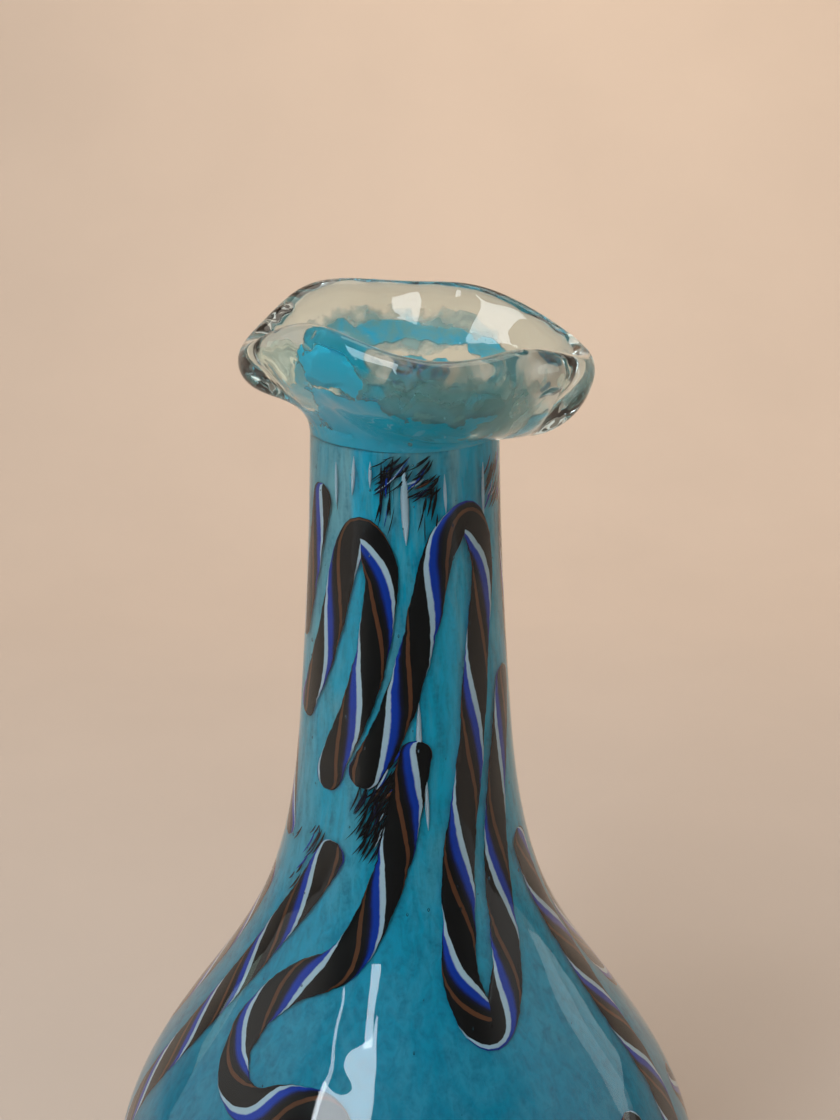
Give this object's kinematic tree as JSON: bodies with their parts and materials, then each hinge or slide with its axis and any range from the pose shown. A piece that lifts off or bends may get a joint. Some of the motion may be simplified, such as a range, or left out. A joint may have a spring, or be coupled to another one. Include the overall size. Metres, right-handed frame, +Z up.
{
  "type": "blown glass vase",
  "caption": "Long-necked blown glass vase: turquoise inner layer, looped twisted canes and a clear casing, with a thick ruffled clear lip and a ground flat base",
  "frame": {"origin": "middle of the flat base, on the surface the vase stands on", "axes": "+Z up along the neck; the lip's two long lobes lie along X; -Y is the side shown in the source picture"},
  "size_m": [0.1, 0.1, 0.1935],
  "materials": {
    "turquoise_glass": "opaque turquoise glass, streaked, glossy under the casing",
    "turquoise_fringe": "turquoise glass drawn out thin and broken up towards the rim",
    "clear_glass": "fire polished, very slightly green in thick sections",
    "cane_glass": "opaque twisted cane: white, cobalt blue, navy, copper brown and black stripes"
  },
  "bodies": {
    "root": {"inner_colour_layer": "turquoise_glass", "clear_casing": "clear_glass", "ruffled_lip": "clear_glass", "colour_fringe": "turquoise_fringe", "punty_pad": "clear_glass", "cane_01": "cane_glass", "cane_02": "cane_glass", "cane_03": "cane_glass", "cane_04": "cane_glass", "cane_05": "cane_glass", "cane_06": "cane_glass", "cane_07": "cane_glass", "cane_08": "cane_glass", "cane_09": "cane_glass", "cane_10": "cane_glass", "cane_11": "cane_glass", "cane_12": "cane_glass", "cane_13": "cane_glass", "cane_14": "cane_glass", "cane_15": "cane_glass", "cane_16": "cane_glass", "cane_17": "cane_glass", "cane_18": "cane_glass", "cane_19": "cane_glass", "cane_20": "cane_glass"}
  },
  "joints": []
}
